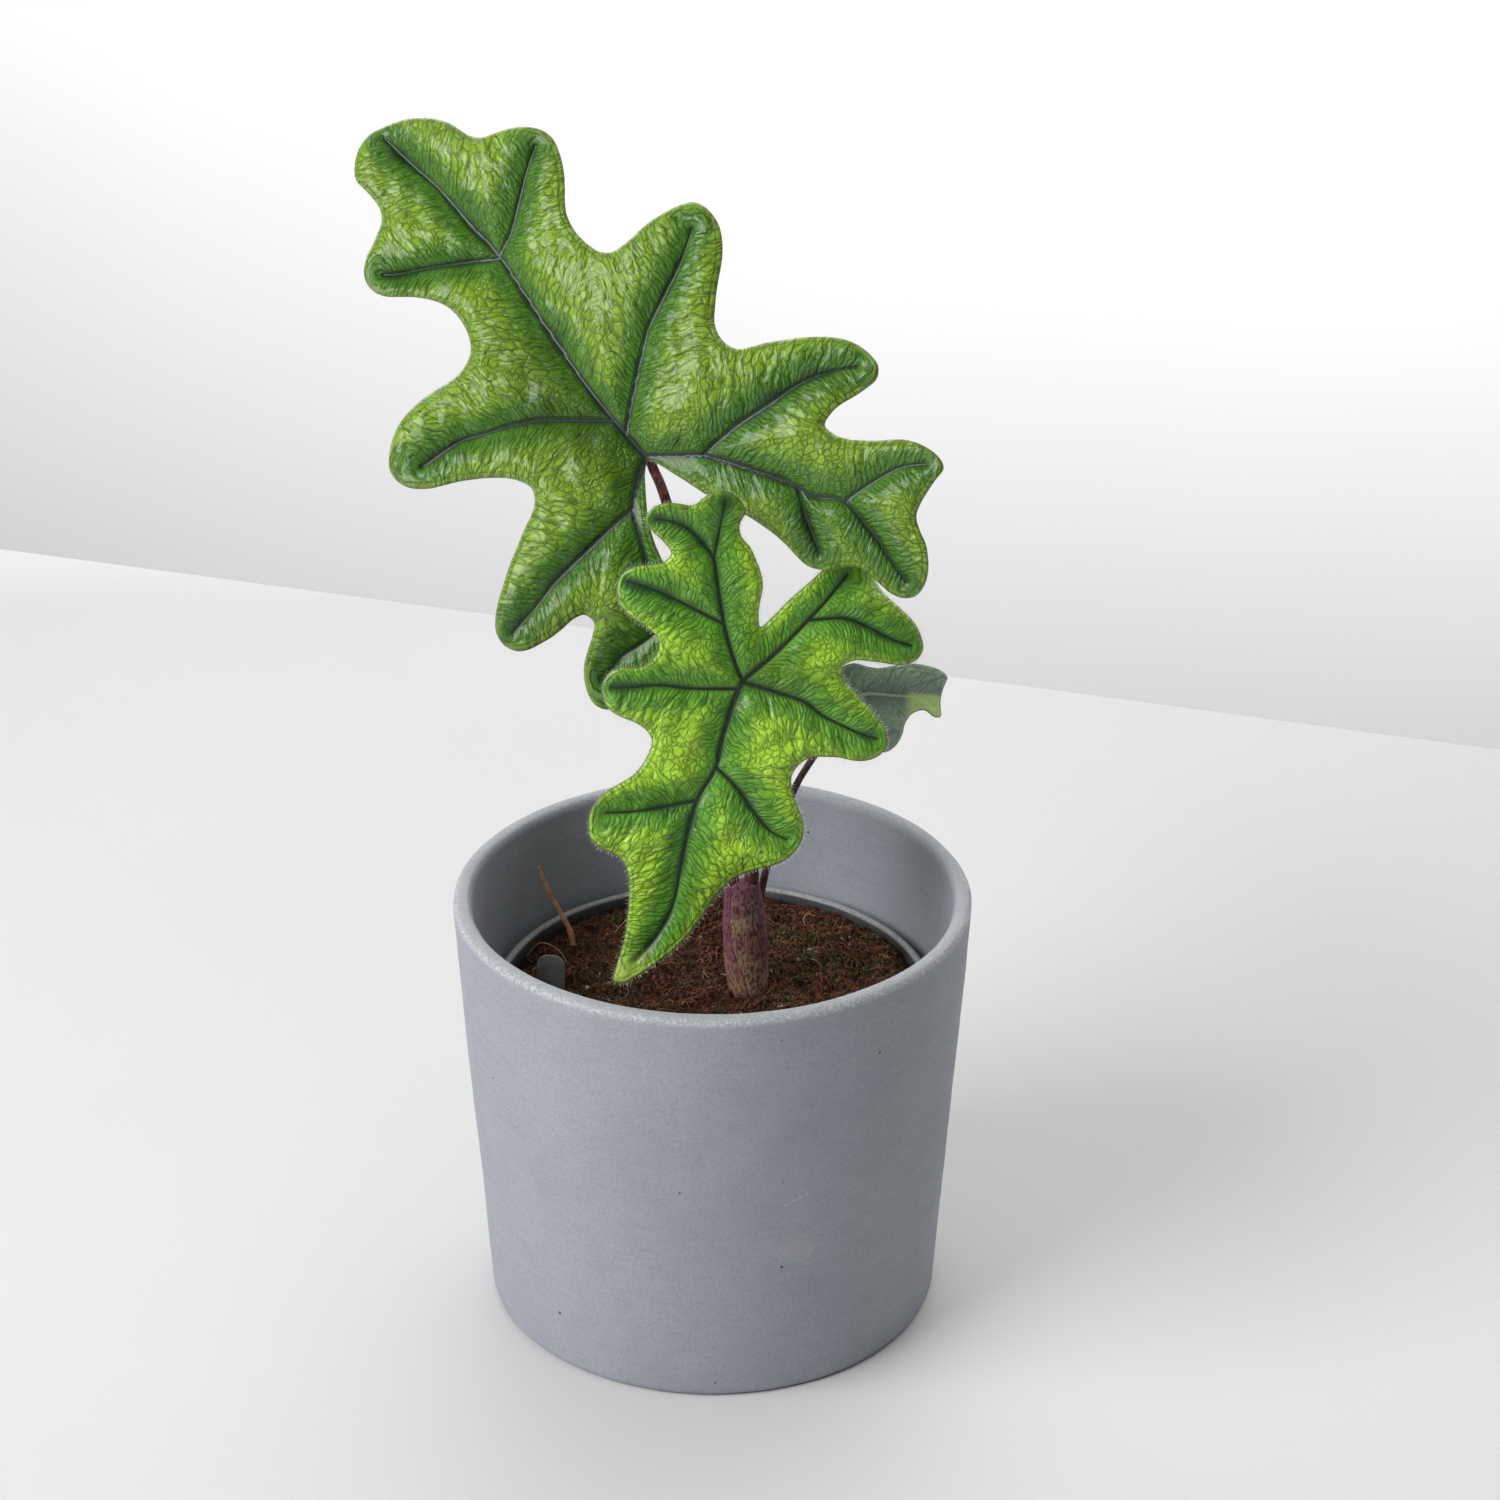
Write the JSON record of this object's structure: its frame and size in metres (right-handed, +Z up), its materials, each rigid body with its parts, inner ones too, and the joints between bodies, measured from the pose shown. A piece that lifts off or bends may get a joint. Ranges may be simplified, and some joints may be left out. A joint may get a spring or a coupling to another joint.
{
  "type": "potted alocasia",
  "caption": "Young potted alocasia with quilted, deeply lobed arrow-shaped leaves in a nursery pot inside a tapered grey cover pot.",
  "frame": {"origin": "middle of the cover pot's flat underside, on the surface it stands on", "axes": "+Z up along the pots' axis; -Y towards the side the leaf faces look at; +X to that viewer's right"},
  "size_m": [0.1673, 0.1647, 0.3091],
  "materials": {
    "cement": "matte",
    "black_plastic": "satin",
    "soil": "matte",
    "corm": "matte",
    "root": "matte",
    "dry_root": "matte",
    "sheath_old": "satin",
    "sheath_new": "satin",
    "petiole": "satin",
    "leaf_large": "gloss",
    "leaf_front": "gloss",
    "leaf_small": "satin",
    "label": "satin"
  },
  "bodies": {
    "root": {"cover_pot": "cement", "nursery_pot": "black_plastic", "potting_soil": "soil", "corm": "corm", "stem_sheath_old": "sheath_old", "stem_sheath_new": "sheath_new", "petiole_large": "petiole", "petiole_front": "petiole", "petiole_small": "petiole", "leaf_large": "leaf_large", "leaf_front": "leaf_front", "leaf_small": "leaf_small", "dry_root": "dry_root", "plant_label": "label", "root_1": "root", "root_2": "root", "root_3": "root", "root_4": "root", "root_5": "root", "root_6": "root"}
  },
  "joints": []
}
